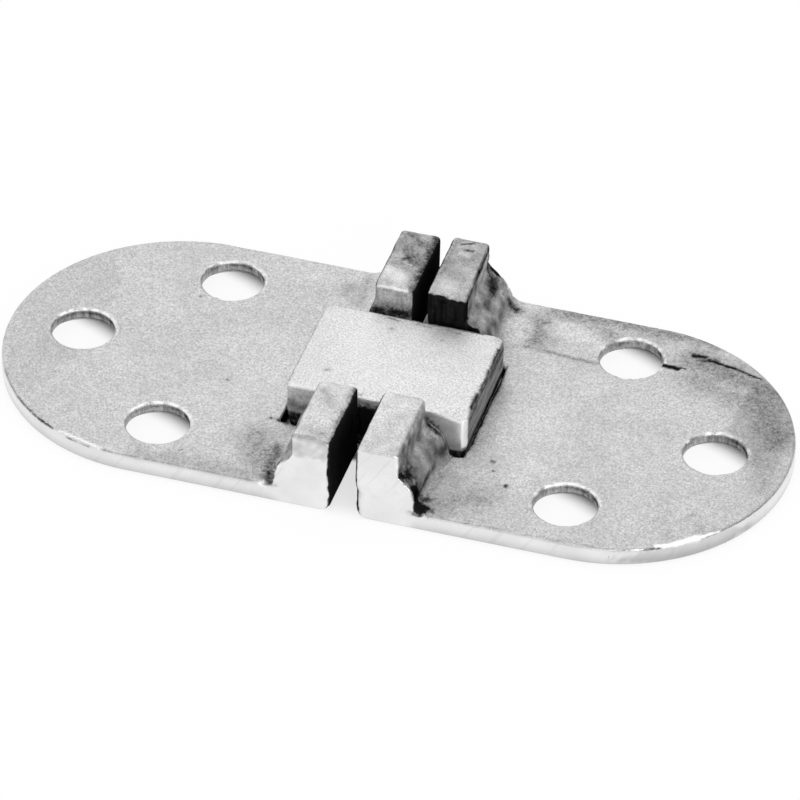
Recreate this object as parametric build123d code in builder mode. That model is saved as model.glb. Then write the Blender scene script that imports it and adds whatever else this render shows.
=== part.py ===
from build123d import *
import math
import os

# Concealed flap hinge: two leaves with half-round ends, joined by a link that turns on two pins.
# It lies open on its flat show face with the lugs up. +X runs from leaf to leaf, +Y across the
# leaves and +Z away from the show face. The origin is the middle of the hinge on the show face.

# Leaves
hinge_length = 79.0
leaf_width = 35.0
leaf_thickness = 2.0
show_edge_chamfer = 0.25
back_edge_chamfer = 0.15

# Lugs: a post over each pin, whose outer side swells into a skirt that stiffens its root
lug_gap = 2.0
lug_width = 4.1
lug_height = 8.4
lug_corner_radius = 0.5
lug_top_radius = 0.3
skirt_drop = 2.5
skirt_slope = 1.2
skirt_reach = 1.8
skirt_neck_radius = 0.4
skirt_foot_radius = 0.7

# Link, which lies in a pocket between the lugs
link_length = 18.2
link_width = 13.4
link_thickness = 5.75
link_corner_radius = 0.4
link_top_radius = 0.25
link_side_clearance = 1.3
link_end_clearance = 0.25
pocket_corner_radius = 1.6

# Pins, fast in the lugs and free in the link
pin_diameter = 2.8
pin_height = 2.85
pin_fast_clearance = 0.01
pin_running_clearance = 0.05
pin_end_recess = 0.03

# Folding: what stays between the closed leaves, and between the two knuckles as they pass
closed_gap = 0.6
knuckle_clearance = 0.3

# Screw holes, countersunk from the show face
screw_hole_diameter = 6.2
countersink_diameter = 8.2
countersink_angle = 90.0
outer_hole_from_end = 7.45
pair_hole_from_end = 19.05
pair_hole_spacing = 23.6

# Places that follow from the sizes above
half_length = hinge_length / 2
half_width = leaf_width / 2
round_centre_x = half_length - half_width
lug_face_x = lug_gap / 2
lug_outer_x = lug_face_x + lug_width
pin_x = pin_height + closed_gap / 2
knuckle_radius = pin_x - knuckle_clearance / 2
link_end_x = link_length / 2
link_end_radius = link_end_x - pin_x
pocket_end_x = link_end_x + link_end_clearance
pocket_width = link_width + 2 * link_side_clearance
lug_depth = (leaf_width - pocket_width) / 2
show_plane = Plane((0, 0, 0), x_dir=(1, 0, 0), z_dir=(0, 0, -1))

with BuildPart() as right_leaf:
    # Plate: straight sides, a half-round end and the pocket for the link, its edges eased
    with BuildSketch(Plane.XY) as plate_outline:
        with BuildLine():
            near_side = Line((lug_face_x, -half_width), (round_centre_x, -half_width))
            round_end = ThreePointArc(
                near_side @ 1, (half_length, 0), (round_centre_x, half_width)
            )
            Polyline(round_end @ 1, (lug_face_x, half_width), near_side @ 0)
        make_face()
        Rectangle(2 * pocket_end_x, pocket_width, mode=Mode.SUBTRACT)
        inner_corners = plate_outline.vertices().group_by(Axis.X)
        fillet(inner_corners[0], radius=lug_corner_radius)
        fillet(inner_corners[1], radius=pocket_corner_radius)
    extrude(amount=leaf_thickness)
    chamfer(right_leaf.faces().sort_by(Axis.Z)[0].edges(), length=show_edge_chamfer)
    chamfer(right_leaf.faces().sort_by(Axis.Z)[-1].edges(), length=back_edge_chamfer)

    # Skirts, one beside each post, from a profile that is sloped, then swells, then spreads
    plate_middle = leaf_thickness / 2
    post_middle_x = lug_face_x + lug_width / 2
    slope_foot_x = lug_outer_x + skirt_slope
    skirt_side_x = lug_outer_x + skirt_reach
    skirt_foot_x = skirt_side_x + skirt_foot_radius
    skirt_top = lug_height - skirt_drop
    neck_rise = skirt_neck_radius * math.tan(math.radians(22.5))
    neck_run = neck_rise * math.sin(math.radians(45))
    for skirt_start in (-pocket_width / 2, half_width):
        with BuildSketch(Plane.XZ.offset(-skirt_start)):
            with BuildLine():
                foot = RadiusArc(
                    (skirt_foot_x, leaf_thickness),
                    (skirt_side_x, leaf_thickness + skirt_foot_radius),
                    skirt_foot_radius,
                )
                swell = TangentArc(
                    foot @ 1, (slope_foot_x, skirt_top - skirt_slope), tangent=(0, 1)
                )
                slope = Line(swell @ 1, (lug_outer_x + neck_run, skirt_top - neck_run))
                neck = TangentArc(slope @ 1, (lug_outer_x, skirt_top + neck_rise), tangent=(-1, 1))
                Polyline(
                    neck @ 1,
                    (post_middle_x, skirt_top + neck_rise),
                    (post_middle_x, plate_middle),
                    (skirt_foot_x, plate_middle),
                    foot @ 0,
                )
            make_face()
        extrude(amount=lug_depth)

    # Posts, worn soft at the corners and tops
    with BuildSketch(Plane.XY.offset(plate_middle)):
        with Locations((post_middle_x, 0)):
            with GridLocations(0, pocket_width + lug_depth, 1, 2):
                RectangleRounded(lug_width, lug_depth, lug_corner_radius)
    extrude(amount=lug_height - plate_middle)
    fillet(right_leaf.faces().group_by(Axis.Z)[-1].edges(), radius=lug_top_radius)

    # Pin bore through both lugs
    with BuildSketch(Plane.XZ):
        with Locations((pin_x, pin_height)):
            Circle(pin_diameter / 2 + pin_fast_clearance)
    extrude(amount=half_width, both=True, mode=Mode.SUBTRACT)

    # Knuckle: the lower inner edge is turned about the pin, to pass the other leaf as they fold
    knuckle_drop = math.sqrt(knuckle_radius**2 - (pin_x - lug_face_x) ** 2)
    knuckle_run = math.sqrt(knuckle_radius**2 - pin_height**2)
    with BuildSketch(Plane.XZ):
        with BuildLine():
            turned = RadiusArc(
                (lug_face_x, pin_height - knuckle_drop), (pin_x - knuckle_run, 0), -knuckle_radius
            )
            Polyline(turned @ 1, (lug_face_x, 0), turned @ 0)
        make_face()
    extrude(amount=half_width, both=True, mode=Mode.SUBTRACT)

    # Screw holes: one near the round end and a pair nearer the lugs
    outer_hole_x = half_length - outer_hole_from_end
    pair_hole_x = half_length - pair_hole_from_end
    with Locations(show_plane):
        with Locations(
            (outer_hole_x, 0),
            (pair_hole_x, -pair_hole_spacing / 2),
            (pair_hole_x, pair_hole_spacing / 2),
        ):
            CounterSinkHole(
                screw_hole_diameter / 2,
                countersink_diameter / 2,
                depth=leaf_thickness,
                counter_sink_angle=countersink_angle,
            )

# The left leaf is the same casting turned end for end
with BuildPart() as left_leaf:
    add(right_leaf.part.rotate(Axis.Z, 180))

with BuildPart() as link:
    # Profile: flat on both faces, its ends turned about the pins below the pin height
    end_arc_run = math.sqrt(link_end_radius**2 - pin_height**2)
    with BuildSketch(Plane.XZ):
        with BuildLine():
            right_arc = RadiusArc(
                (pin_x + end_arc_run, 0), (link_end_x, pin_height), -link_end_radius
            )
            Polyline(
                right_arc @ 1,
                (link_end_x, link_thickness),
                (-link_end_x, link_thickness),
                (-link_end_x, pin_height),
            )
            left_arc = RadiusArc(
                (-link_end_x, pin_height), (-pin_x - end_arc_run, 0), -link_end_radius
            )
            Line(left_arc @ 1, right_arc @ 0)
        make_face()
    extrude(amount=link_width / 2, both=True)
    fillet(link.edges().filter_by(Axis.Z), radius=link_corner_radius)
    fillet(link.faces().sort_by(Axis.Z)[-1].edges(), radius=link_top_radius)
    with BuildSketch(Plane.XZ):
        with Locations((-pin_x, pin_height), (pin_x, pin_height)):
            Circle(pin_diameter / 2 + pin_running_clearance)
    extrude(amount=link_width / 2, both=True, mode=Mode.SUBTRACT)

with BuildPart() as right_pin:
    with BuildSketch(Plane.XZ):
        with Locations((pin_x, pin_height)):
            Circle(pin_diameter / 2)
    extrude(amount=half_width - pin_end_recess, both=True)

with BuildPart() as left_pin:
    add(right_pin.part.rotate(Axis.Z, 180))

right_leaf.part.label = "right_leaf"
left_leaf.part.label = "left_leaf"
link.part.label = "link"
right_pin.part.label = "right_pin"
left_pin.part.label = "left_pin"

os.makedirs("parts", exist_ok=True)
for piece in (left_leaf, right_leaf, link, left_pin, right_pin):
    export_step(piece.part, f"parts/{piece.part.label}.step")
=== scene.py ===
import math

import bpy
import numpy as np
from mathutils import Matrix, Vector, noise


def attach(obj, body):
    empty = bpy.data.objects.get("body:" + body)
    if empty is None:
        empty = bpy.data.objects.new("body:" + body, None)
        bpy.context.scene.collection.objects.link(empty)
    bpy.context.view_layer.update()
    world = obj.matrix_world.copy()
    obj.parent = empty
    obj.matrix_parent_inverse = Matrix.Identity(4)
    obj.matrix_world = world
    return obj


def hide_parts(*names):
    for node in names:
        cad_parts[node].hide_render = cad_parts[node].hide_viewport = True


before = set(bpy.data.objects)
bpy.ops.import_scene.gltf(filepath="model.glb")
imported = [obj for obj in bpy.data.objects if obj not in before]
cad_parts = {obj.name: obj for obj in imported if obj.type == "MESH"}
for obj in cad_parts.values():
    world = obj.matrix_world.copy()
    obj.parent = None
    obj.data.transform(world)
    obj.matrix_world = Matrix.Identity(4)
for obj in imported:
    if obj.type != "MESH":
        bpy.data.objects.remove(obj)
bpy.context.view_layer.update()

# ---------------------------------------------------------------------------
# Right leaf: one steel casting, a plate with a half-round end and two lugs that carry the pin.
# Its top keeps the fine grain of the sand, its rim and the near ends of its lugs are ground
# bright, and dirt has settled at the roots of the lugs. Shade is painted into its gaps, lug
# flanks, hole walls and rim band, and highlights on some edges and on the far lips of its holes.
# All its places are in millimetres.
# ---------------------------------------------------------------------------
LEAF_VOXEL = 0.19
MERGE_WITHIN = 0.002
PLATE_HALF_WIDTH = 17.5
ROUND_CENTRE = 22.0
HOLE_RADIUS = 3.1
HOLE_PLACES = ((32.05, 0.0), (20.45, -11.8), (20.45, 11.8))
PIN_X = 3.15
PIN_HEIGHT = 2.85
PIN_RADIUS = 1.4

# The pin mouths are closed by plugs, a little wider than the pins and flush with the lugs
PLUG_MIDDLE = 16.9
PLUG_LENGTH = 1.2
PLUG_OVERLAP = 0.15

# A lug goes from its face at the gap to its outer side, and its skirt runs on to the reach
LUG_FACE = 1.0
LUG_WIDTH = 4.1
LUG_OUTER = 5.1
LUG_REACH = 11.5
LUG_END = 7.7
LUG_ROOT = 8.0
LUG_DEPTH = 9.5
LUG_LEVELS = (2.0, 2.5, 4.5, 8.4)
LIFT_FROM, LIFT_OVER = 3.5, 4.9
ROOT_FALL = 2.4
ROOT_LEVELS = (1.9, 2.1, 2.8, 3.5, 4.7, 6.2, 8.2)
ROOT_SPREAD = (0.0, 1.0, 0.95, 0.75, 0.5, 0.25, 0.0)


def select_only(piece):
    """Leaves one piece selected and active."""
    bpy.ops.object.select_all(action="DESELECT")
    piece.select_set(True)
    bpy.context.view_layer.objects.active = piece


def cast_blank(node, name, voxel, plug_places=()):
    """A merged copy of a node, its pin mouths closed flush, as an even skin that can be worked."""
    piece = bpy.data.objects.new(name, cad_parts[node].data.copy())
    bpy.context.collection.objects.link(piece)
    select_only(piece)
    bpy.ops.object.mode_set(mode="EDIT")
    bpy.ops.mesh.select_all(action="SELECT")
    bpy.ops.mesh.remove_doubles(threshold=MERGE_WITHIN / 1000)
    bpy.ops.mesh.select_all(action="DESELECT")
    for x, y in plug_places:
        bpy.ops.mesh.primitive_cylinder_add(
            vertices=64,
            radius=(PIN_RADIUS + PLUG_OVERLAP) / 1000,
            depth=PLUG_LENGTH / 1000,
            location=(x / 1000, y / 1000, PIN_HEIGHT / 1000),
            rotation=(math.pi / 2, 0, 0),
        )
    bpy.ops.object.mode_set(mode="OBJECT")
    skin = piece.modifiers.new("skin", "REMESH")
    skin.mode = "VOXEL"
    skin.voxel_size = voxel / 1000
    skin.use_smooth_shade = True
    bpy.ops.object.modifier_apply(modifier="skin")
    ease = piece.modifiers.new("ease", "SMOOTH")
    ease.factor = 0.5
    ease.iterations = 2
    bpy.ops.object.modifier_apply(modifier="ease")
    piece.data.materials.clear()
    return piece


def places(piece):
    """The points of a piece, in millimetres."""
    flat = np.empty(len(piece.data.vertices) * 3, dtype=np.float32)
    piece.data.vertices.foreach_get("co", flat)
    return flat.reshape(-1, 3).astype(float) * 1000


def normals(piece):
    """The outward direction at each point of a piece."""
    flat = np.empty(len(piece.data.vertices) * 3, dtype=np.float32)
    piece.data.vertex_normals.foreach_get("vector", flat)
    return flat.reshape(-1, 3).astype(float)


def move_to(piece, points):
    """Puts the points of a piece at new places, given in millimetres."""
    piece.data.vertices.foreach_set("co", (points / 1000).astype(np.float32).ravel())
    piece.data.update()


def paint(piece, name, values):
    """Keeps one number for each point, which the finish reads by its name."""
    layer = piece.data.attributes.new(name, "FLOAT", "POINT")
    layer.data.foreach_set("value", np.asarray(values, dtype=np.float32))


def lumps(points, size, seed):
    """Soft unevenness from -1 to 1 whose lumps are about as wide as size."""
    moved = points / size + seed
    return np.array([noise.noise(place) for place in moved.tolist()])


def soft_step(low, high, values):
    """Rises smoothly from 0 at low to 1 at high."""
    share = np.clip((values - low) / (high - low), 0, 1)
    return share * share * (3 - 2 * share)


def stroke_cover(points, strokes, seed):
    """How far strokes cover each point, each from one place to another with a width and a strength.

    The strokes give dirt, painted shade, painted highlights and raised burrs.
    """
    uneven = 0.5 * lumps(points, 0.9, seed) + 0.5 * lumps(points, 0.38, seed + 7)
    strayed = np.stack([lumps(points, 1.4, seed + shift) for shift in (11, 13, 17)], axis=1)
    covered = np.zeros(len(points))
    for start, end, width, strength in strokes:
        drawn = points + min(0.45, 0.4 * width) * strayed
        start, end = np.array(start, dtype=float), np.array(end, dtype=float)
        along = end - start
        share = np.clip((drawn - start) @ along / max(along @ along, 1e-9), 0, 1)
        away = np.linalg.norm(drawn - (start + share[:, None] * along), axis=1) / width
        covered = np.maximum(covered, strength * soft_step(1.5, 0.0, away * (1 + 0.6 * uneven)))
    return np.minimum(covered, 1.3)


def shape_lug(points, side, levels, inner, outer, rise, flare, skirt=1.0, twist=0.0):
    """Moves one lug as the casting left it: leaned, narrowed, raised or cut, its root spread."""
    across = side[0] * points[:, 0]
    deep = side[1] * points[:, 1]
    height = points[:, 2]
    here = (across < LUG_REACH) & (deep > LUG_END) & (across > 0)
    post = np.clip((across - LUG_FACE) / LUG_WIDTH, 0, 1)
    push = (1 - post) * np.interp(height, levels, inner)
    push += post * np.interp(height, levels, outer)
    push -= (1 - skirt) * np.clip(across - LUG_OUTER, 0, 3) * soft_step(2.0, 2.4, height)
    nearness = np.clip((PLATE_HALF_WIDTH - deep) / LUG_DEPTH, 0, 1)
    push += twist * post * nearness * soft_step(2.5, 6.0, height)
    spread = flare * np.exp(-((np.maximum(deep - LUG_ROOT, 0) / ROOT_FALL) ** 2))
    spread *= np.interp(height, ROOT_LEVELS, ROOT_SPREAD)
    push += spread * soft_step(4.6, 6.4, across) * soft_step(LUG_REACH, 8.0, across)
    points[here, 0] += side[0] * push[here]
    lift = rise * np.clip((height - LIFT_FROM) / LIFT_OVER, 0, 1)
    points[here, 2] += lift[here]


def soften(piece, weights, turns):
    """Rounds the edges of a piece where the weights are high."""
    group = piece.vertex_groups.new(name="worn")
    for step in range(1, 11):
        chosen = np.flatnonzero(np.round(weights * 10) == step)
        group.add(chosen.tolist(), step / 10, "REPLACE")
    wear = piece.modifiers.new("wear", "SMOOTH")
    wear.factor = 0.5
    wear.iterations = turns
    wear.vertex_group = "worn"
    select_only(piece)
    bpy.ops.object.modifier_apply(modifier="wear")
    piece.vertex_groups.clear()


def pull(points, centre, radius, shift):
    """Draws the points near a place aside by a shift that fades out over the radius."""
    away = (points - np.array(centre)) / np.array(radius)
    points += np.exp(-(away**2).sum(axis=1))[:, None] * np.array(shift)


def roughen_leaf(piece, side_x, burrs, seed):
    """The uneven skin of a cast leaf: lumps on its lugs, a wavy rim and raised hole edges."""
    points = places(piece)
    lug_top = soft_step(5.6, 6.6, points[:, 2])
    soften(piece, lug_top * soft_step(17.3, 16.6, np.abs(points[:, 1])), 10)
    flank = soft_step(4.6, 5.4, side_x * points[:, 0]) * soft_step(2.0, 2.2, points[:, 2])
    soften(piece, flank * soft_step(17.2, 16.0, np.abs(points[:, 1])), 16)
    points, outward = places(piece), normals(piece)
    across = side_x * points[:, 0]
    lug = soft_step(2.0, 2.6, points[:, 2])
    plate_top = soft_step(0.7, 0.95, outward[:, 2]) * (1 - lug)
    round_away = np.hypot(np.maximum(across - ROUND_CENTRE, 0), points[:, 1])
    rim = soft_step(PLATE_HALF_WIDTH - 0.7, PLATE_HALF_WIDTH - 0.2, round_away)
    ground = rim * (np.abs(outward[:, 2]) < 0.5)
    uneven = 0.075 * lumps(points, 2.2, seed) + 0.03 * lumps(points, 0.8, seed + 3)
    push = lug * (1 - ground) * uneven
    push += plate_top * (0.03 * lumps(points, 5.0, seed + 9) + 0.012 * lumps(points, 0.7, seed + 5))
    push += ground * 0.02 * lumps(points, 3.0, seed + 13)
    pitted = plate_top * soft_step(14.0, 10.0, across) * soft_step(9.2, 9.8, across)
    push += pitted * (0.022 * lumps(points, 0.55, seed + 61) + 0.02 * lumps(points, 1.2, seed + 63))
    push += 0.16 * stroke_cover(points, burrs, seed + 51) * (lumps(points, 0.45, seed + 53) + 0.1)
    push += rim * plate_top * 0.035 * lumps(points, 1.6, seed + 21)
    for hole_x, hole_y in HOLE_PLACES:
        away = np.hypot(across - hole_x, side_x * points[:, 1] - hole_y) - HOLE_RADIUS
        lip = np.exp(-(((away - 0.15) / 0.2) ** 2)) * plate_top
        push += lip * (0.06 + 0.12 * np.maximum(lumps(points, 0.9, seed + 31), -0.3))
    move_to(piece, points + outward * push[:, None])


right_leaf = cast_blank(
    "right_leaf", "right_leaf_casting", LEAF_VOXEL,
    [(PIN_X, end * PLUG_MIDDLE) for end in (-1, 1)],
)
right_points = places(right_leaf)
shape_lug(right_points, (1, -1), LUG_LEVELS, inner=(0.1, 0.1, 0.1, 0.2),
          outer=(0.0, 0.05, 0.35, 0.4), rise=0.1, flare=1.0)
shape_lug(right_points, (1, 1), (2.0, 2.5, 4.5, 6.4, 8.4), inner=(0.0, -0.1, -0.3, -0.45, -0.45),
          outer=(0.0, -0.15, -0.85, -0.85, -0.75), rise=0.0, flare=0.8, twist=0.45)
right_x, right_y, right_z = right_points.T

# The far lug's near face is skew, and the near lug's lower inner corner is rounded off
skewed = (right_y > LUG_END) & (right_y < 9.5) & (right_z > 5.0)
right_y -= skewed * 0.4 * np.clip((right_x - LUG_FACE) / 4.0, 0, 1)
below = (right_y < -15.9) & (right_x < 2.6) & (right_z < 4.4)
rounded = np.clip((-15.9 - right_y) / 1.6, 0, 1) ** 2
right_x += (
    below * rounded * 0.4 * soft_step(4.4, 3.2, right_z) * np.clip((2.6 - right_x) / 1.6, 0, 1)
)
pull(right_points, (9.25, -7.6, 1.0), (0.55, 0.8, 1.6), (-0.2, 0.45, 0.0))
pull(right_points, (7.7, -8.0, 1.0), (0.6, 0.6, 1.6), (0.0, 0.4, 0.0))
end_wall = np.exp(-(((right_x - 9.35) / 0.5) ** 2)) * soft_step(7.6, 5.8, np.abs(right_y))
right_x -= 0.17 * end_wall
pull(right_points, (9.2, 7.8, 1.0), (0.9, 1.2, 1.6), (-0.35, -1.15, 0.0))
move_to(right_leaf, right_points)
roughen_leaf(right_leaf, 1, (
    ((1.0, 8.0, 8.2), (4.9, 7.6, 8.1), 0.45, 1.0),
    ((1.1, -17.4, 4.4), (1.1, -17.4, 1.0), 0.5, 1.0),
    ((5.5, -17.3, 6.0), (7.3, -17.3, 2.6), 0.5, 0.9),
    ((4.4, 17.0, 7.0), (6.8, 17.0, 2.6), 0.7, 0.8),
), seed=2.3)

# How far a point stands out from its neighbours, as a slope, where it counts as a sharp edge
SHARP_EDGE = 0.22


def rubbed_edges(piece):
    """How far each point stands out from its neighbours, from 0 on a flat to 1 on a sharp edge."""
    points, outward = places(piece), normals(piece)
    ends = np.empty(len(piece.data.edges) * 2, dtype=np.int32)
    piece.data.edges.foreach_get("vertices", ends)
    first, second = ends.reshape(-1, 2).T
    away = points[second] - points[first]
    away /= np.maximum(np.linalg.norm(away, axis=1), 1e-9)[:, None]
    total, count = np.zeros(len(points)), np.zeros(len(points))
    np.add.at(total, first, -(away * outward[first]).sum(axis=1))
    np.add.at(total, second, (away * outward[second]).sum(axis=1))
    np.add.at(count, first, 1)
    np.add.at(count, second, 1)
    return np.clip(total / np.maximum(count, 1) / SHARP_EDGE, 0, 1)


def leaf_marks(piece, side_x, dirt_and_shade_strokes, highlight_strokes, brightness_patches, lug_wall_shade, seed):
    """Paints where a leaf is ground bright, its painted highlights, its dirt and its painted shade,
    and patches that set how dark each lug top and some other places are.
    """
    points, outward = places(piece), normals(piece)
    across = side_x * points[:, 0]
    round_away = np.hypot(np.maximum(across - ROUND_CENTRE, 0), points[:, 1])
    rim = soft_step(PLATE_HALF_WIDTH - 0.35, PLATE_HALF_WIDTH - 0.1, round_away)
    bright = rim * soft_step(0.85, 0.55, outward[:, 2])
    chips = rubbed_edges(piece) * soft_step(-0.25, 0.25, lumps(points, 0.7, seed + 3))
    # Painted highlights: the broken far lips of the holes and the highlight strokes, made bright
    # and matt so that they show white from every side.
    lip_highlights = np.zeros(len(points))
    for hole_x, hole_y in HOLE_PLACES:
        aside, deep = across - hole_x, points[:, 1] - side_x * hole_y
        away = np.hypot(aside, deep) - HOLE_RADIUS
        lip = soft_step(0.3, 0.12, np.abs(away - 0.06)) * soft_step(1.72, 1.92, points[:, 2])
        lip *= soft_step(-0.5, 1.6, deep)
        lip_highlights += lip * soft_step(-0.2, 0.05, lumps(points, 0.6, seed + 5))
    highlight_mask = np.maximum(lip_highlights, stroke_cover(points, highlight_strokes, seed + 41))
    paint(piece, "bright", np.maximum(bright, np.maximum(0.85 * chips, highlight_mask)))
    paint(piece, "painted_highlight", highlight_mask)
    # Painted shade: the inner sides of the lugs and the pocket walls go near black; on the left
    # lugs the pocket walls only in part.
    inner_side = soft_step(2.4, 1.9, across) * soft_step(-0.35, -0.7, side_x * outward[:, 0])
    pocket_wall = soft_step(10.3, 10.1, across) * soft_step(8.6, 8.3, np.abs(points[:, 1]))
    pocket_wall *= soft_step(0.75, 0.4, outward[:, 2]) * soft_step(-0.8, -0.5, outward[:, 2])
    pocket_wall *= np.where(points[:, 2] > 2.1, lug_wall_shade, 1.0)
    recess_shade = 1.15 * np.maximum(inner_side, pocket_wall)
    # Painted shade in the screw holes: walls darker towards the right, a dark countersink foot and
    # a dark band under the far lip.
    hole_wall, hole_far = np.zeros(len(points)), np.zeros(len(points))
    for hole_x, hole_y in HOLE_PLACES:
        deep = points[:, 1] - side_x * hole_y
        away = np.hypot(across - hole_x, deep)
        inside = (away < HOLE_RADIUS + 1.1) * soft_step(0.6, 0.3, outward[:, 2])
        inside *= 0.8 + 0.4 * soft_step(-2.5, 2.5, points[:, 0] - side_x * hole_x)
        hole_wall = np.maximum(hole_wall, inside)
        hole_far = np.maximum(hole_far, inside * soft_step(-0.5, 1.5, deep))
    hole_foot_shade = 0.9 * hole_wall * soft_step(1.15, 0.9, points[:, 2])
    hole_foot_shade *= soft_step(-0.72, -0.6, outward[:, 2])
    under_lip_shade = soft_step(0.28, 0.1, np.abs(points[:, 2] - 1.62)) * hole_far
    under_lip_shade *= 0.75 * soft_step(-0.5, 0.2, lumps(points, 1.1, seed + 23))
    # The strokes give dirt and painted shade; the ground rim is kept mostly clear of them.
    clean = rim * soft_step(0.6, 0.3, outward[:, 2]) * soft_step(2.4, 3.2, across)
    clean *= np.maximum(soft_step(2.0, 2.5, points[:, 2]), soft_step(1.85, 1.5, points[:, 2]))
    stain_and_shade = stroke_cover(points, dirt_and_shade_strokes, seed) * (1 - 0.9 * clean)
    dirt_and_shade = np.maximum.reduce([stain_and_shade, recess_shade, hole_foot_shade, under_lip_shade])
    paint(piece, "dirt_and_shade", dirt_and_shade)
    tone_and_shade = np.ones(len(points))
    on_lug = soft_step(2.3, 3.2, points[:, 2])
    tone_and_shade += on_lug * (0.16 * lumps(points, 1.5, seed + 25) + 0.14 * lumps(points, 0.55, seed + 27))
    # Painted shade: the outer flanks of the lugs are darkened, mottled by lumps.
    flank = soft_step(0.3, 0.8, side_x * outward[:, 0]) * soft_step(2.0, 3.0, points[:, 2])
    coarse, fine = lumps(points, 1.1, seed + 71), lumps(points, 0.4, seed + 73)
    tone_and_shade *= 1 - flank * (0.42 - 0.6 * coarse - 0.2 * fine)
    # Painted shade: the rim band darker towards its lower edge, with a dark line along the bottom,
    # and the hole walls darker.
    tone_and_shade *= 1 - rim * (0.1 + 0.3 * soft_step(1.5, 0.1, points[:, 2])) * soft_step(5.8, 7.6, across)
    tone_and_shade *= 1 - 0.5 * rim * soft_step(0.35, 0.12, points[:, 2])
    tone_and_shade *= 1 - 0.5 * hole_wall
    lug_side = pocket_wall * soft_step(2.0, 2.6, points[:, 2])
    paint(piece, "drag", np.maximum(0.8 * hole_wall, lug_side))
    for centre, radius, value in brightness_patches:
        away = np.linalg.norm((points - np.array(centre)) / np.array(radius), axis=1)
        away *= 1 + 0.35 * lumps(points, 1.8, seed + 17) + 0.25 * lumps(points, 0.6, seed + 19)
        tone_and_shade += (value - 1) * soft_step(1.2, 0.85, away)
    paint(piece, "tone_and_shade", tone_and_shade)


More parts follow.
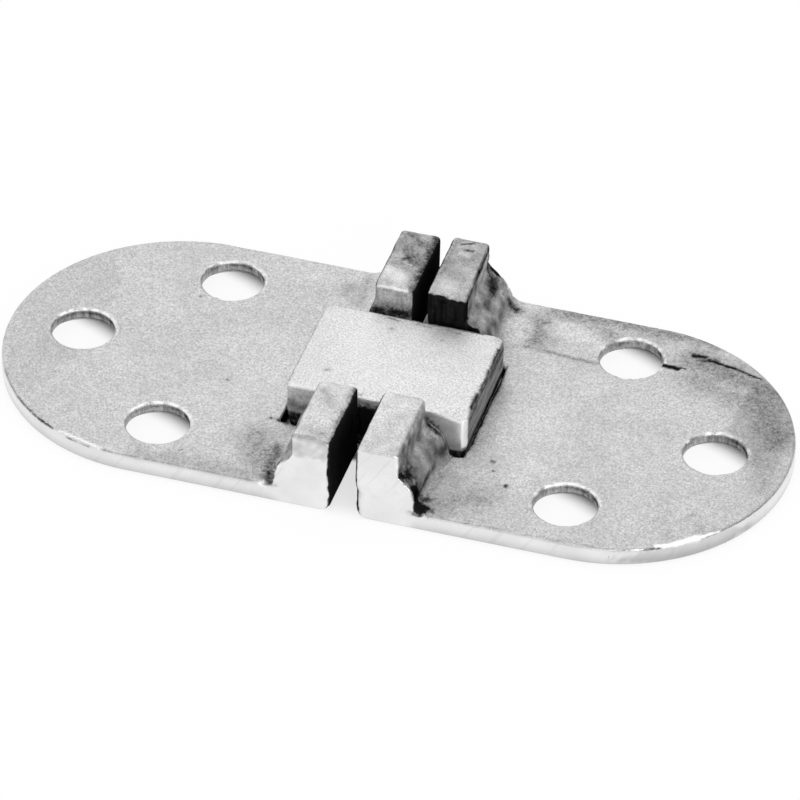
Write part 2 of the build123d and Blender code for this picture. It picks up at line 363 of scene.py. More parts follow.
# Strokes of dirt and painted shade, and then of painted highlights: from where to where, how
# wide and how strong
RIGHT_DIRT_AND_SHADE = (
    ((5.6, -17.2, 6.0), (6.1, -15.7, 5.3), 1.3, 1.05),
    ((6.8, -16.7, 4.0), (7.3, -16.6, 2.2), 1.3, 1.5),
    ((7.0, -15.6, 2.8), (7.6, -15.3, 2.0), 1.3, 0.9),
    ((7.1, -14.6, 3.0), (7.0, -12.6, 3.0), 0.9, 0.85),
    ((7.0, -12.6, 3.0), (6.8, -10.6, 4.3), 0.8, 0.6),
    ((7.7, -14.2, 2.1), (7.7, -10.4, 2.1), 1.0, 0.5),
    ((5.5, -17.3, 7.4), (5.5, -15.0, 6.8), 1.5, 0.55),
    ((5.5, -14.6, 6.8), (5.5, -9.0, 6.6), 0.9, 0.4),
    ((5.4, -8.9, 6.9), (5.8, -8.6, 5.8), 0.45, 0.8),
    ((5.8, -8.6, 5.8), (6.9, -8.7, 4.9), 0.55, 1.0),
    ((6.9, -8.7, 4.9), (7.7, -8.8, 3.3), 0.4, 0.9),
    ((5.3, -16.8, 6.4), (5.3, -13.6, 6.4), 0.8, 0.7),
    ((6.9, -15.4, 3.6), (7.2, -12.8, 3.4), 1.3, 0.6),
    ((6.0, -9.6, 5.6), (6.7, -9.6, 5.0), 0.7, 0.6),
    ((6.2, -10.4, 5.4), (6.6, -9.4, 5.0), 1.0, 0.5),
    ((1.1, -17.4, 4.3), (1.2, -17.4, 0.6), 0.4, 0.9),
    ((1.3, -17.4, 3.2), (1.3, -17.4, 1.4), 0.7, 0.6),
    ((8.8, -15.5, 2.0), (12.5, -13.4, 2.0), 2.4, 0.5),
    ((9.3, -11.8, 2.0), (12.2, -13.7, 2.0), 1.5, 0.35),
    ((12.0, -7.7, 2.0), (12.1, -7.7, 2.0), 0.35, 0.9),
    ((12.5, -9.0, 2.0), (12.6, -9.0, 2.0), 0.25, 0.8),
    ((14.1, -10.9, 2.0), (14.2, -10.8, 2.0), 0.35, 1.0),
    ((4.7, 17.0, 6.4), (5.4, 15.4, 5.1), 1.3, 1.0),
    ((4.5, 17.5, 6.2), (5.2, 17.4, 4.8), 0.7, 1.3),
    ((5.2, 16.4, 5.2), (5.6, 14.6, 4.8), 1.1, 0.9),
    ((5.3, 14.6, 5.2), (5.6, 12.6, 4.8), 1.1, 0.6),
    ((6.5, 16.3, 2.6), (7.5, 16.0, 2.0), 0.9, 1.0),
    ((6.8, 15.4, 2.4), (7.6, 10.0, 2.2), 1.0, 0.5),
    ((4.3, 17.0, 8.0), (4.6, 8.6, 8.0), 0.34, 0.9),
    ((1.0, 8.1, 8.1), (4.8, 7.8, 7.9), 0.35, 0.8),
    ((4.6, 8.4, 6.5), (7.6, 8.6, 2.4), 0.9, 0.5),
    ((1.7, 16.3, 8.4), (2.8, 16.9, 8.4), 0.2, 1.0),
    ((2.3, 15.5, 8.4), (3.0, 15.6, 8.4), 0.3, 0.9),
    ((1.2, 17.3, 8.2), (4.0, 17.3, 8.2), 0.6, 0.45),
    ((1.1, 16.8, 8.3), (1.1, 10.0, 8.3), 0.45, 0.5),
    ((1.6, 13.0, 8.4), (4.0, 15.4, 8.4), 1.2, 0.4),
    ((9.9, 10.6, 2.0), (17.3, 10.0, 2.0), 0.4, 0.6),
    ((10.3, 14.8, 2.0), (10.8, 12.0, 2.0), 1.9, 0.6),
    ((12.0, 17.0, 2.0), (28.4, 16.8, 2.0), 2.0, 0.6),
    ((15.8, 15.6, 2.0), (18.0, 14.4, 2.0), 1.5, 0.5),
    ((23.3, 11.7, 2.0), (24.4, 11.75, 2.0), 0.5, 1.2),
    ((24.2, 11.8, 2.0), (25.2, 11.6, 2.0), 0.4, 1.2),
    ((24.9, 11.9, 2.0), (26.0, 11.9, 2.0), 0.2, 0.9),
    ((26.1, 14.0, 2.0), (27.2, 14.2, 2.0), 0.55, 1.05),
    ((27.0, 13.6, 2.0), (28.4, 13.9, 2.0), 0.7, 0.9),
    ((27.6, 13.9, 2.0), (30.6, 13.3, 2.0), 0.28, 1.25),
    ((30.4, 13.4, 2.0), (33.4, 12.5, 2.0), 0.23, 1.15),
    ((26.8, 13.0, 2.0), (29.4, 12.5, 2.0), 0.24, 0.6),
    ((26.5, 13.6, 2.0), (35.2, 10.6, 2.0), 2.7, 0.62),
    ((27.5, 10.4, 2.0), (34.0, 8.4, 2.0), 2.8, 0.5),
    ((34.0, 9.5, 2.0), (37.6, 3.6, 2.0), 3.6, 0.58),
    ((36.4, 2.0, 2.0), (37.5, -3.0, 2.0), 2.4, 0.42),
    ((9.2, 4.6, 1.9), (9.2, -6.6, 1.9), 0.34, 1.3),
    ((9.0, -7.0, 2.0), (8.2, -8.0, 2.0), 0.3, 0.9),
    ((9.6, 2.5, 2.0), (9.8, -5.6, 2.0), 1.3, 0.42),
    ((26.4, -16.95, 1.9), (28.6, -16.25, 1.9), 0.13, 1.0),
    ((28.6, -16.25, 1.9), (30.9, -15.1, 1.85), 0.15, 1.0),
    ((8.5, -17.4, 1.95), (26.4, -17.0, 1.95), 0.14, 0.6),
)
RIGHT_HIGHLIGHTS = (
    ((30.3, -15.1, 2.0), (31.6, -14.4, 2.0), 0.22, 1.5),
    ((32.0, -14.15, 2.0), (33.8, -12.75, 2.0), 0.34, 1.6),
    ((33.8, -12.7, 2.0), (35.4, -11.1, 2.0), 0.16, 1.4),
    ((5.4, -17.4, 8.1), (5.4, -17.4, 6.2), 0.2, 0.9),
    ((7.6, -17.4, 2.0), (7.9, -17.35, 1.9), 0.36, 1.6),
    ((1.1, 8.0, 8.1), (3.0, 7.8, 8.1), 0.14, 1.0),
    ((3.2, 7.7, 7.8), (4.6, 7.6, 7.9), 0.14, 1.0),
    ((1.6, 7.9, 7.4), (3.2, 7.7, 7.2), 0.1, 0.9),
    ((2.0, 15.0, 8.4), (2.9, 14.6, 8.4), 0.3, 0.6),
    ((1.4, 10.0, 8.4), (2.4, 9.0, 8.4), 0.9, 0.35),
)
leaf_marks(right_leaf, 1, RIGHT_DIRT_AND_SHADE, RIGHT_HIGHLIGHTS, (
    ((2.8, -13.0, 8.6), (3.6, 6.5, 1.5), 1.08),
    ((2.4, 13.0, 8.4), (3.6, 6.5, 1.5), 0.77),
    ((6.4, -12.6, 4.6), (1.5, 2.4, 1.5), 1.2),
    ((33.0, -12.5, 1.0), (7.0, 6.0, 0.9), 0.75),
    ((8.4, 12.8, 2.0), (1.6, 2.0, 1.0), 1.2),
    ((13.9, 14.2, 2.0), (2.8, 1.6, 1.0), 1.14),
    ((13.0, -3.0, 2.0), (5.0, 8.0, 1.0), 1.1),
    ((35.5, 6.0, 2.0), (3.0, 7.0, 1.0), 0.8),
), lug_wall_shade=1.0, seed=4.1)


def node_maker(tree):
    """Four short ways to add to a node tree: any node, a sum, a sum of vectors and a range."""

    def node(kind, sources=(), **settings):
        made = tree.nodes.new(kind)
        for key, value in settings.items():
            setattr(made, key, value)
        for key, source in dict(sources).items():
            if isinstance(source, bpy.types.NodeSocket):
                tree.links.new(source, made.inputs[key])
            else:
                made.inputs[key].default_value = source
        return made

    def number(operation, first, second, clamp=False):
        made = node("ShaderNodeMath", {0: first, 1: second}, operation=operation, use_clamp=clamp)
        return made.outputs[0]

    def vector(operation, first, second=(0.0, 0.0, 0.0)):
        made = node("ShaderNodeVectorMath", {0: first, 1: second}, operation=operation)
        return made.outputs["Value" if operation in ("LENGTH", "DOT_PRODUCT") else "Vector"]

    def spread(value, low, high, to_low=0.0, to_high=1.0, kind="SMOOTHSTEP"):
        return node("ShaderNodeMapRange", {
            "Value": value, "From Min": low, "From Max": high, "To Min": to_low, "To Max": to_high,
        }, interpolation_type=kind).outputs["Result"]

    return node, number, vector, spread


def cast_steel(name, colour, bright_colour, grain, mottle, roughness, bump, drag_stretch):
    """Grained grey steel, brighter where it is ground and where highlights are painted, and darker
    where dirt has settled and where shade is painted.
    """
    steel = bpy.data.materials.new(name)
    steel.use_nodes = True
    links = steel.node_tree.links
    shader = steel.node_tree.nodes["Principled BSDF"]
    shader.inputs["Specular IOR Level"].default_value = 0.0
    node, number, _, spread = node_maker(steel.node_tree)
    where = node("ShaderNodeTexCoord").outputs["Object"]

    def cloud(per_metre, detail, coarse, seed, stretch=None, slant=0.0):
        place = where
        if stretch:
            place = node("ShaderNodeMapping", {
                "Vector": where,
                "Scale": [1 / share for share in stretch],
                "Rotation": (0.0, slant, 0.0),
            }, vector_type="TEXTURE").outputs["Vector"]
        return node("ShaderNodeTexNoise", {
            "Vector": place, "W": seed, "Scale": per_metre, "Detail": detail, "Roughness": coarse,
        }, noise_dimensions="4D").outputs["Fac"]

    def mark(attribute):
        return node("ShaderNodeAttribute", attribute_name=attribute).outputs["Fac"]

    sand = cloud(5200, 4, 0.8, 1.0)
    patches = cloud(180, 4, 0.6, 5.0)
    pits = cloud(900, 2, 0.5, 9.0)
    flecks = cloud(1300, 3, 0.6, 27.0)
    bright, dirt_and_shade, tone_and_shade, painted_highlight = mark("bright"), mark("dirt_and_shade"), mark("tone_and_shade"), mark("painted_highlight")
    speck = spread(pits, 0.72, 0.78, 0.0, 1.0)
    drag = spread(cloud(3000, 3, 0.6, 13.0, drag_stretch), 0.3, 0.7, -0.6, 0.6)
    scratch = spread(cloud(1700, 2, 0.5, 21.0, (1.0, 1.0, 0.06), 0.6), 0.6, 0.66, 0.0, 1.0)
    # Dirt and painted shade are broken up at their edges by a fine noise.
    breakup = cloud(2700, 4, 0.75, 33.0)
    broken = number("ADD", dirt_and_shade, number("MULTIPLY", number("SUBTRACT", breakup, 0.5), 1.6))
    broken = spread(broken, 0.3, 1.05, 0.0, 1.0)
    broken = number("MULTIPLY", broken, spread(dirt_and_shade, 0.02, 0.2, 0.0, 1.0))
    broken = number("MULTIPLY", broken, 0.64)
    dirt_and_shade_edge = number("ADD", number("MULTIPLY", dirt_and_shade, 0.36), broken, clamp=True)
    shade = number("MULTIPLY", spread(sand, 0.25, 0.75, 1 - grain, 1 + grain),
                   spread(patches, 0.3, 0.7, 1 - mottle, 1 + mottle))
    shade = number("MULTIPLY", shade, spread(flecks, 0.3, 0.7, 0.965, 1.035))
    shade = number("MULTIPLY", shade, tone_and_shade)
    shade = number("MULTIPLY", shade, number("ADD", 1.0, number("MULTIPLY", mark("drag"), drag)))
    ground = spread(patches, 0.3, 0.7, 0.9, 1.04)
    ground = number("MULTIPLY", spread(tone_and_shade, 0.3, 1.0, 0.55, 1.0), ground)
    ground = number("MULTIPLY", ground, number("SUBTRACT", 1.0, number("MULTIPLY", scratch, 0.06)))
    calm = number("ADD", number("MULTIPLY", shade, number("SUBTRACT", 1.0, bright)),
                  number("MULTIPLY", bright, ground))
    dull = number("MULTIPLY", dirt_and_shade_edge, 0.985)
    dull = number("MAXIMUM", dull, number("MULTIPLY", speck, 0.5))
    shade = number("MULTIPLY", calm, number("SUBTRACT", 1.0, dull))
    # Painted highlights are lightened here and below made non-metal, so they show white from every
    # side.
    shade = number("MULTIPLY", shade, number("ADD", 1.0, number("MULTIPLY", painted_highlight, 0.12)))
    base = node("ShaderNodeMix", {
        "Factor": bright, "A": (*colour, 1), "B": (*bright_colour, 1),
    }, data_type="RGBA").outputs["Result"]
    tinted = node("ShaderNodeVectorMath", {0: base, "Scale": shade}, operation="SCALE")
    links.new(tinted.outputs["Vector"], shader.inputs["Base Color"])
    bare = number("SUBTRACT", 1.0, number("MULTIPLY", dirt_and_shade_edge, 0.95))
    links.new(number("MULTIPLY", bare, number("SUBTRACT", 1.0, painted_highlight)), shader.inputs["Metallic"])
    rough = number("ADD", spread(patches, 0.3, 0.7, roughness - 0.05, roughness + 0.05),
                   number("MULTIPLY", dirt_and_shade_edge, 0.45))
    rough = number("SUBTRACT", rough, number("MULTIPLY", bright, roughness - 0.2))
    links.new(rough, shader.inputs["Roughness"])
    height = number("SUBTRACT", sand, number("MULTIPLY", speck, 0.8))
    unground = number("SUBTRACT", 1.0, number("MULTIPLY", bright, 0.9))
    raised = node("ShaderNodeBump", {
        "Distance": bump / 1000, "Strength": 1.0, "Height": number("MULTIPLY", height, unground),
    })
    links.new(raised.outputs["Normal"], shader.inputs["Normal"])
    return steel


leaf_steel = cast_steel(
    "leaf_cast_steel", colour=(0.63, 0.63, 0.63), bright_colour=(0.86, 0.86, 0.86),
    grain=0.45, mottle=0.08, roughness=0.42, bump=0.06, drag_stretch=(1.0, 1.0, 0.12),
)
right_leaf.data.materials.append(leaf_steel)
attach(right_leaf, "right_leaf")
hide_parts("right_leaf")

# ---------------------------------------------------------------------------
# Left leaf: the same casting turned end for end, from the same pattern but with its own faults:
# its lugs stand lower than the right ones, and the far one leans in. Same steel and same skin.
# ---------------------------------------------------------------------------
left_leaf = cast_blank(
    "left_leaf", "left_leaf_casting", LEAF_VOXEL,
    [(-PIN_X, end * PLUG_MIDDLE) for end in (-1, 1)],
)
left_points = places(left_leaf)
shape_lug(left_points, (-1, -1), LUG_LEVELS, inner=(0.3, 0.35, 0.4, 0.3),
          outer=(0.0, 0.0, 0.1, 0.25), rise=-0.1, flare=0.3)
shape_lug(left_points, (-1, 1), LUG_LEVELS, inner=(0.0, -0.15, -0.3, -0.35),
          outer=(0.0, -0.05, -0.25, -0.3), rise=-0.35, flare=0.0, skirt=0.35)
pull(left_points, (-8.9, -7.9, 1.0), (0.9, 0.7, 1.6), (0.0, 0.3, 0.0))
pull(left_points, (-9.35, 1.0, 1.0), (0.5, 6.5, 1.6), (0.15, 0.0, 0.0))
pull(left_points, (-9.2, 7.8, 1.0), (0.9, 1.2, 1.6), (0.1, -0.5, 0.0))
move_to(left_leaf, left_points)
roughen_leaf(left_leaf, -1, (
    ((-5.4, -17.3, 6.0), (-7.3, -17.3, 2.4), 0.8, 1.0),
    ((-1.4, -17.3, 7.0), (-1.4, -17.3, 1.0), 0.35, 0.7),
    ((-4.7, 8.1, 7.8), (-1.0, 8.1, 7.8), 0.4, 0.5),
    ((-33.0, -13.6, 1.9), (-24.0, -17.2, 1.9), 0.4, 0.5),
), seed=11.7)
# Strokes of dirt and painted shade, and then of painted highlights, as on the right leaf.
LEFT_DIRT_AND_SHADE = (
    ((-7.4, -17.2, 2.3), (-7.9, -15.8, 2.0), 0.9, 1.0),
    ((-6.6, -17.0, 4.4), (-7.2, -15.6, 2.8), 0.8, 0.8),
    ((-8.0, -16.5, 2.0), (-8.4, -12.2, 2.0), 1.4, 0.75),
    ((-10.8, -11.0, 2.0), (-9.0, -15.0, 2.0), 2.4, 0.52),
    ((-20.5, -16.9, 2.0), (-9.0, -16.6, 2.0), 1.5, 0.43),
    ((-5.5, -16.0, 7.2), (-5.5, -9.0, 7.0), 0.6, 0.7),
    ((-1.5, -17.0, 8.2), (-1.5, -8.6, 8.2), 0.65, 0.75),
    ((-3.6, -15.8, 8.2), (-2.2, -16.4, 8.2), 0.8, 0.5),
    ((-4.4, -9.6, 8.2), (-3.0, -11.6, 8.2), 0.7, 0.45),
    ((-3.1, 14.4, 8.0), (-2.0, 12.6, 8.0), 1.3, 0.75),
    ((-3.6, 16.8, 8.0), (-1.4, 15.4, 8.0), 0.9, 0.7),
    ((-0.9, 17.3, 7.9), (-0.9, 8.4, 7.9), 0.85, 0.9),
    ((-4.0, 16.4, 8.0), (-2.4, 12.0, 8.0), 1.9, 0.5),
    ((-3.2, 12.9, 8.0), (-2.5, 13.3, 8.0), 0.24, 1.0),
    ((-2.5, 12.3, 8.0), (-1.8, 12.7, 8.0), 0.2, 0.9),
    ((-3.0, 11.4, 8.0), (-2.2, 11.6, 8.0), 0.2, 0.6),
    ((-4.6, 17.3, 7.8), (-4.7, 8.4, 7.8), 0.4, 0.8),
    ((-4.8, 8.3, 7.0), (-4.9, 8.2, 2.6), 0.4, 0.8),
    ((-4.6, 8.0, 4.9), (-1.0, 8.0, 5.2), 1.15, 1.0),
    ((-7.6, 12.0, 2.0), (-7.6, 16.0, 2.0), 0.8, 0.4),
    ((-9.2, 14.4, 2.0), (-9.0, 14.0, 2.0), 1.3, 0.5),
    ((-9.4, -7.7, 2.0), (-8.6, -8.1, 2.0), 0.45, 0.9),
    ((-10.3, -7.7, 2.0), (-10.2, -7.7, 2.0), 0.3, 1.0),
    ((-16.2, -3.4, 2.0), (-16.1, -3.4, 2.0), 0.22, 0.9),
    ((-37.3, -8.4, 1.9), (-35.0, -11.7, 1.9), 0.12, 0.8),
    ((-35.0, -11.7, 1.9), (-32.6, -13.95, 1.9), 0.15, 1.1),
    ((-32.6, -13.95, 1.9), (-29.9, -15.6, 1.9), 0.16, 1.2),
    ((-28.2, -16.35, 1.8), (-25.6, -17.05, 1.8), 0.1, 1.1),
    ((-24.5, -17.3, 1.95), (-9.0, -17.4, 1.95), 0.14, 0.6),
    ((-9.3, -5.0, 2.0), (-9.3, 6.0, 2.0), 0.4, 0.5),
)
LEFT_HIGHLIGHTS = (
    ((-29.2, -15.8, 2.0), (-24.5, -17.15, 2.0), 0.13, 1.3),
    ((-7.8, -17.4, 1.95), (-8.2, -17.35, 1.9), 0.3, 1.5),
    ((-4.5, 8.1, 7.95), (-3.0, 8.1, 7.95), 0.2, 1.0),
    ((-2.8, 8.1, 7.95), (-1.1, 8.1, 7.9), 0.18, 1.0),
    ((-4.2, 8.0, 7.0), (-1.6, 8.0, 7.0), 0.9, 0.32),
    ((-6.4, -17.4, 5.0), (-7.4, -17.2, 2.6), 0.3, 0.7),
    ((-1.4, -17.4, 7.8), (-1.4, -17.4, 5.0), 0.18, 0.9),
    ((-2.9, 12.4, 8.05), (-1.9, 12.0, 8.05), 0.16, 0.8),
    ((-4.2, 10.8, 8.05), (-2.6, 9.6, 8.05), 0.9, 0.4),
)
leaf_marks(left_leaf, -1, LEFT_DIRT_AND_SHADE, LEFT_HIGHLIGHTS, (
    ((-3.2, -13.0, 8.3), (3.6, 6.5, 1.5), 1.08),
    ((-3.8, -17.5, 7.9), (2.6, 0.8, 1.7), 0.6),
    ((-2.7, 13.0, 8.0), (3.6, 6.5, 1.5), 0.8),
    ((-3.2, 9.9, 8.0), (2.2, 1.7, 1.5), 1.12),
    ((-12.5, 0.0, 2.0), (3.5, 6.0, 1.0), 1.06),
    ((-36.0, 1.0, 2.0), (5.0, 13.0, 1.0), 0.9),
), lug_wall_shade=0.35, seed=8.6)
left_leaf.data.materials.append(leaf_steel)
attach(left_leaf, "left_leaf")
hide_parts("left_leaf")

# ---------------------------------------------------------------------------
# Link: a solid steel block between the lugs, sawn from bar and drilled for both pins. Its top is
# grained and paler than the leaves, its ends keep the drag lines of the bar, and of its corners
# the far right one is rounded and the near right one filed. Shade is painted on its ends and
# low on its sides, and highlights on its filed corner, its near face and the left end of its
# near top edge.
# ---------------------------------------------------------------------------
LINK_VOXEL = 0.15
LINK_HALF_LENGTH = 9.1
LINK_HALF_WIDTH = 6.7
LINK_TOP = 5.75
FAR_CORNER_RADIUS = 0.7
FILED_CORNER = 0.5
link = cast_blank("link", "link_block", LINK_VOXEL)
link_points = places(link)
turned_x = link_points[:, 0] - (LINK_HALF_LENGTH - FAR_CORNER_RADIUS)
turned_y = link_points[:, 1] - (LINK_HALF_WIDTH - FAR_CORNER_RADIUS)
turned_in = (turned_x > 0) & (turned_y > 0)
round_in = np.maximum(turned_x, turned_y) / np.maximum(np.hypot(turned_x, turned_y), 1e-9)
link_points[turned_in, 0] += (turned_x * (round_in - 1))[turned_in]
link_points[turned_in, 1] += (turned_y * (round_in - 1))[turned_in]
over = (link_points[:, 0] - LINK_HALF_LENGTH) - (link_points[:, 1] + LINK_HALF_WIDTH) + FILED_CORNER
filed_off = np.maximum(over, 0) * (link_points[:, 0] > 0) * (link_points[:, 1] < 0) / 2
link_points[:, 0] -= filed_off
link_points[:, 1] += filed_off
move_to(link, link_points)
corner = soft_step(1.2, 0.6, LINK_HALF_LENGTH - np.abs(link_points[:, 0]))
corner *= soft_step(1.2, 0.6, LINK_HALF_WIDTH - np.abs(link_points[:, 1]))
near_left = (link_points[:, 0] < 0) & (link_points[:, 1] < 0)
near_right = (link_points[:, 0] > 0) & (link_points[:, 1] < 0)
edge_away = np.hypot(link_points[:, 0] - LINK_HALF_LENGTH, link_points[:, 2] - LINK_TOP)
worn_edge = np.exp(-((edge_away / 0.6) ** 2))
worn_edge *= 0.5 + 0.5 * soft_step(-0.3, 0.3, lumps(link_points, 2.6, 43.0))
corner *= np.where(near_left, 0.3, np.where(near_right, 0.1, 0.7))
soften(link, np.maximum(corner, worn_edge * (link_points[:, 1] > -6.0)), 45)
link_points, link_outward = places(link), normals(link)
pull(link_points, (8.6, -6.5, LINK_TOP), (1.7, 1.0, 0.9), (0.0, 0.0, -0.4))
on_top = soft_step(0.6, 0.9, link_outward[:, 2])
on_end = soft_step(0.6, 0.9, np.abs(link_outward[:, 0])) * soft_step(1.0, 2.6, link_points[:, 2])
drag = lumps(link_points * (1.0, 0.12, 1.0), 0.45, 17.0)
link_push = on_top * (0.025 * lumps(link_points, 4.0, 3.0) + 0.012 * lumps(link_points, 0.6, 6.0))
link_push += on_end * (0.03 * drag + 0.02 * lumps(link_points, 2.5, 8.0))
link_push += (1 - on_top) * (1 - on_end) * 0.04 * lumps(link_points, 1.6, 12.0)
link_push += worn_edge * 0.07 * lumps(link_points, 0.5, 15.0)
move_to(link, link_points + link_outward * link_push[:, None])
link_points, link_outward = places(link), normals(link)
# Painted highlights: the filed near right corner, the left end of the near top edge and the near
# face, most on its right part, made bright and matt, the near face only partly matt.
filed_highlight = soft_step(0.25, 0.5, link_outward[:, 0]) * soft_step(0.25, 0.5, -link_outward[:, 1])
filed_highlight = filed_highlight * soft_step(1.8, 2.2, link_points[:, 2])
near_face_light = soft_step(0.6, 0.9, -link_outward[:, 1]) * soft_step(1.6, 2.0, link_points[:, 2])
near_face_light *= soft_step(4.6, 6.0, link_points[:, 0]) * 0.7 + 0.2
near_face_light *= 1 + 0.35 * lumps(link_points * (0.4, 1.0, 1.0), 0.9, 41.0)
edge_away = np.hypot(link_points[:, 1] + LINK_HALF_WIDTH, link_points[:, 2] - LINK_TOP)
near_edge_highlight = soft_step(0.35, 0.1, edge_away) * soft_step(-5.5, -7.0, link_points[:, 0])
chips = rubbed_edges(link) * soft_step(-0.1, 0.3, lumps(link_points, 0.7, 31.0))
paint(link, "bright", np.maximum.reduce([filed_highlight, near_edge_highlight, 0.7 * chips, near_face_light]))
paint(link, "painted_highlight", np.maximum.reduce([filed_highlight, near_edge_highlight, 0.4 * near_face_light]))
paint(link, "drag", soft_step(0.5, 0.9, np.abs(link_outward[:, 0])))
# Painted shade: the link's sides go dark low down in the pocket, below about 2.6 mm and on the near
# right below about 1.8 mm, but not its downward faces.
lower_sides_shade = np.where(
    near_right,
    soft_step(2.0, 1.6, link_points[:, 2]),
    soft_step(3.0, 2.2, link_points[:, 2]),
)
lower_sides_shade = lower_sides_shade * soft_step(-0.8, -0.6, link_outward[:, 2])
# Strokes of dirt and painted shade on the link.
LINK_DIRT_AND_SHADE = (
    ((9.2, -5.6, 5.0), (9.2, -3.6, 5.0), 0.7, 0.8),
    ((9.2, -3.4, 5.3), (9.2, 1.4, 5.1), 0.6, 0.7),
    ((9.2, 1.6, 4.9), (9.0, 5.6, 4.9), 1.0, 0.75),
    ((8.4, 6.4, 5.2), (9.0, 5.2, 3.4), 1.0, 0.7),
    ((9.2, -5.4, 2.9), (9.2, 5.4, 2.9), 0.5, 0.5),
    ((-8.9, -6.7, 3.4), (-6.0, -6.7, 3.2), 1.1, 0.75),
    ((-7.6, -6.7, 4.6), (-6.6, -6.7, 4.6), 0.6, 0.5),
    ((-9.05, -6.0, 5.6), (-9.05, 5.6, 5.6), 0.2, 0.9),
    ((-2.6, -6.7, 3.7), (2.6, -6.7, 3.7), 1.7, 1.4),
    ((-2.6, -6.7, 2.2), (2.6, -6.7, 2.2), 1.7, 1.4),
    ((5.2, -6.7, 5.0), (6.4, -6.7, 3.4), 0.7, 0.9),
    ((6.4, -6.7, 5.0), (6.9, -6.7, 3.0), 0.7, 0.4),
    ((-3.4, 6.6, 5.7), (2.6, 6.5, 5.7), 0.26, 1.0),
    ((-2.8, 6.2, 5.75), (-1.6, 6.0, 5.75), 0.22, 0.8),
    ((0.2, 6.1, 5.75), (1.6, 6.0, 5.75), 0.3, 0.7),
    ((2.6, 6.5, 5.7), (6.8, 6.5, 5.7), 0.24, 0.9),
    ((3.4, 5.9, 5.75), (4.6, 5.9, 5.75), 0.2, 0.8),
    ((9.0, -4.8, 5.55), (8.9, -2.6, 5.6), 0.42, 1.0),
    ((9.0, -1.8, 5.55), (8.9, 1.2, 5.6), 0.34, 0.9),
    ((9.0, 1.8, 5.5), (8.9, 4.6, 5.6), 0.4, 0.9),
    ((-8.6, 6.7, 5.7), (-3.6, 6.6, 5.7), 0.18, 0.8),
    ((-2.0, 4.6, 5.75), (-1.8, 4.6, 5.75), 0.4, 0.6),
    ((3.3, 4.3, 5.75), (3.4, 4.3, 5.75), 0.25, 0.6),
    ((-6.1, -3.5, 5.75), (-5.9, -3.4, 5.75), 0.3, 0.6),
)
paint(link, "dirt_and_shade", np.maximum(lower_sides_shade, stroke_cover(link_points, LINK_DIRT_AND_SHADE, 21.0)))
# Painted shade: the ends of the link are darker. It is also a little darker towards its left end.
paint(link, "tone_and_shade", (1 - 0.58 * soft_step(0.4, 0.85, link_outward[:, 0]))
      * (1 - 0.07 * soft_step(-3.0, -8.0, link_points[:, 0])))
link_steel = cast_steel(
    "link_bar_steel", colour=(0.8, 0.8, 0.8), bright_colour=(0.9, 0.9, 0.9),
    grain=0.42, mottle=0.05, roughness=0.42, bump=0.05, drag_stretch=(1.0, 0.05, 1.0),
)
link.data.materials.append(link_steel)
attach(link, "link")
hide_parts("link")

# ---------------------------------------------------------------------------
# Pins: two drawn steel rods, pressed into the lugs and ground flush with them. Only the short
# runs beside the link show, greased and worn bright, so they keep the frame's shape.
# ---------------------------------------------------------------------------
pin_steel = bpy.data.materials.new("pin_drawn_steel")
pin_steel.use_nodes = True
pin_shader = pin_steel.node_tree.nodes["Principled BSDF"]
pin_shader.inputs["Metallic"].default_value = 1.0
node, _, _, spread = node_maker(pin_steel.node_tree)
pin_lines = node("ShaderNodeTexNoise", {
    "Vector": node("ShaderNodeMapping", {
        "Vector": node("ShaderNodeTexCoord").outputs["Object"], "Scale": (2500, 180, 2500),
    }).outputs["Vector"],
    "Scale": 1.0,
    "Detail": 3.0,
}).outputs["Fac"]
for socket, low, high in (("Base Color", 0.42, 0.72), ("Roughness", 0.22, 0.4)):
    pin_range = spread(pin_lines, 0.0, 1.0, low, high, kind="LINEAR")
    pin_steel.node_tree.links.new(pin_range, pin_shader.inputs[socket])
for pin in ("left_pin", "right_pin"):
    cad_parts[pin].data.materials.clear()
    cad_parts[pin].data.materials.append(pin_steel)

# ---------------------------------------------------------------------------
# Floor: a sheet of white paper that the show faces lie on. To the camera and in reflections it
# glows white, a little less close under the hinge, so it is a little greyer there, and not at
# all where the link and the gaps shut it in, so it shows black there in its own shade. Inside
# each screw hole its glow falls away towards the far right wall: a painted shadow over the
# real one.
# ---------------------------------------------------------------------------
PAPER_DROP = 0.00002

# Each mask rises between two distances in metres: from the middle of a leaf or of the hinge, from
# the middle of the gap between the leaves, and from the middle of a hole
LEAF_SHADE = (0.0155, 0.0185)
SHUT_IN_X = (0.0102, 0.0108)
SHUT_IN_Y = (0.0088, 0.0094)
GAP_X = (0.0012, 0.0016)
GAP_FAR_Y = (0.0168, 0.0175)
GAP_NEAR_Y = (0.001, 0.0)
HOLE_INSIDE = (0.0046, 0.0042)
HOLE_SHADE = (0.0016, 0.0041)
HOLE_SHADE_WAY = (0.45, 0.9, 0.0)
bpy.ops.mesh.primitive_plane_add(size=4.0, location=(0, 0, -PAPER_DROP))
floor = bpy.context.object
floor.name = "floor"
paper = bpy.data.materials.new("white_paper")
paper.use_nodes = True
node, number, vector, spread = node_maker(paper.node_tree)
paper_shader = paper.node_tree.nodes["Principled BSDF"]
paper_shader.inputs["Base Color"].default_value = (0.9, 0.9, 0.9, 1)
paper_shader.inputs["Roughness"].default_value = 0.9
paper_shader.inputs["Specular IOR Level"].default_value = 0.0
paper_where = node("ShaderNodeTexCoord").outputs["Object"]
folded = vector("ABSOLUTE", paper_where)
fold = node("ShaderNodeSeparateXYZ", {"Vector": folded}).outputs
sides = node("ShaderNodeSeparateXYZ", {"Vector": paper_where}).outputs
past_strip = vector("MAXIMUM", vector("SUBTRACT", folded, (ROUND_CENTRE / 1000, 0.0, 0.0)))
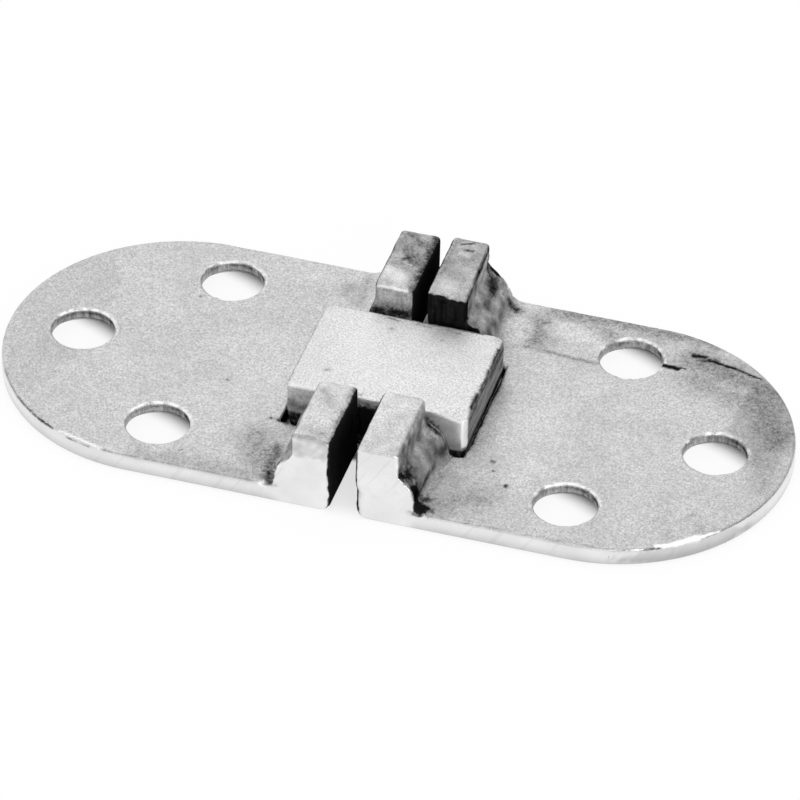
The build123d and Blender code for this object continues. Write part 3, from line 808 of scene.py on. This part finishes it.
fade = spread(vector("LENGTH", past_strip), *LEAF_SHADE, 0.66, 0.93)
clear = number("MAXIMUM", spread(fold["X"], *SHUT_IN_X, kind="LINEAR"),
               spread(fold["Y"], *SHUT_IN_Y, kind="LINEAR"))
beside = number("MAXIMUM", spread(fold["X"], *GAP_X, kind="LINEAR"),
                spread(sides["Y"], *GAP_FAR_Y, kind="LINEAR"))
beside = number("MAXIMUM", beside, spread(sides["Y"], *GAP_NEAR_Y, kind="LINEAR"))
glow_mask = number("MULTIPLY", clear, beside)
# Painted shadow: inside each screw hole the paper's glow falls away towards the far right wall.
for side in (-1, 1):
    for hole_x, hole_y in HOLE_PLACES:
        hole_middle = (side * hole_x / 1000, side * hole_y / 1000, 0.0)
        offset = vector("SUBTRACT", paper_where, hole_middle)
        painted_hole_shadow = node("ShaderNodeMix", {
            "Factor": spread(vector("LENGTH", offset), *HOLE_INSIDE, kind="LINEAR"),
            "A": 1.0,
            "B": spread(vector("DOT_PRODUCT", offset, HOLE_SHADE_WAY), *HOLE_SHADE, 1.35, 0.0),
        }).outputs["Result"]
        glow_mask = number("MULTIPLY", glow_mask, painted_hole_shadow)
seen = node("ShaderNodeLightPath").outputs
glow_share = number("MULTIPLY", number("MAXIMUM", seen["Is Camera Ray"], seen["Is Glossy Ray"]),
                    number("MULTIPLY", fade, glow_mask))
paper_mix = node("ShaderNodeMixShader", {
    "Fac": glow_share,
    1: paper_shader.outputs["BSDF"],
    2: node("ShaderNodeEmission").outputs["Emission"],
}).outputs["Shader"]
paper.node_tree.links.new(paper_mix, paper.node_tree.nodes["Material Output"].inputs["Surface"])
floor.data.materials.append(paper)

# ---------------------------------------------------------------------------
# Light: a white room, seen white but duller towards the right in the steel, a wide soft box over
# the far side that the tops show, and a stronger one low on the near right for the ground ends.
# ---------------------------------------------------------------------------
ROOM_BRIGHT_SIDE = (-0.85, 0.1, 0.5)
room = bpy.data.worlds.new("room")
room.use_nodes = True
bpy.context.scene.world = room
node, number, vector, spread = node_maker(room.node_tree)
room_links = room.node_tree.links
room_light = room.node_tree.nodes["Background"]
room_light.inputs["Strength"].default_value = 1.0
room_side = vector("DOT_PRODUCT", node("ShaderNodeTexCoord").outputs["Generated"], ROOM_BRIGHT_SIDE)
room_links.new(spread(room_side, -0.6, 0.45, 0.3, 0.95), room_light.inputs["Color"])
room_seen = node("ShaderNodeBackground", {"Color": (1, 1, 1, 1), "Strength": 1.0})
room_path = node("ShaderNodeLightPath").outputs
room_mix = node("ShaderNodeMixShader", {
    "Fac": number("MAXIMUM", room_path["Is Camera Ray"], room_path["Is Diffuse Ray"]),
    1: room_light.outputs["Background"],
    2: room_seen.outputs["Background"],
}).outputs["Shader"]
room_links.new(room_mix, room.node_tree.nodes["World Output"].inputs["Surface"])


def soft_box(name, place, size, power):
    """A square lamp that faces the hinge."""
    lamp = bpy.data.lights.new(name, "AREA")
    lamp.shape = "SQUARE"
    lamp.size = size
    lamp.energy = power
    stand = bpy.data.objects.new(name, lamp)
    stand.location = place
    stand.rotation_euler = Vector(place).to_track_quat("Z", "Y").to_euler()
    bpy.context.collection.objects.link(stand)


soft_box("far_box", place=(-0.25, 0.55, 0.55), size=0.5, power=0.25)
soft_box("near_box", place=(0.45, -0.6, 0.3), size=0.4, power=2.0)

# ---------------------------------------------------------------------------
# Camera: on the near right side, looking down at the hinge from two thirds of a metre through a
# long lens. It was fitted to the outline, the six holes, the lugs and the link in the photograph.
# ---------------------------------------------------------------------------
AZIMUTH, ELEVATION, ROLL = math.radians(16.321), math.radians(38.462), math.radians(0.892)
DISTANCE, ASIDE, ABOVE = 0.68498, -0.000404, -0.000667
FOCAL_LENGTH, SENSOR_WIDTH = 316.94, 36.0
back = Vector((
    math.sin(AZIMUTH) * math.cos(ELEVATION),
    -math.cos(AZIMUTH) * math.cos(ELEVATION),
    math.sin(ELEVATION),
))
level_right = (-back).cross(Vector((0, 0, 1))).normalized()
level_up = level_right.cross(-back)
right = math.cos(ROLL) * level_right + math.sin(ROLL) * level_up
up = math.cos(ROLL) * level_up - math.sin(ROLL) * level_right
lens = bpy.data.cameras.new("camera")
lens.lens = FOCAL_LENGTH
lens.sensor_width = SENSOR_WIDTH
lens.clip_start = 0.01
lens.clip_end = 20.0
camera = bpy.data.objects.new("camera", lens)
turned = Matrix((right, up, back)).transposed().to_4x4()
turned.translation = back * DISTANCE - right * ASIDE - up * ABOVE
camera.matrix_world = turned
bpy.context.collection.objects.link(camera)
bpy.context.scene.camera = camera
bpy.context.scene.view_settings.view_transform = "Standard"
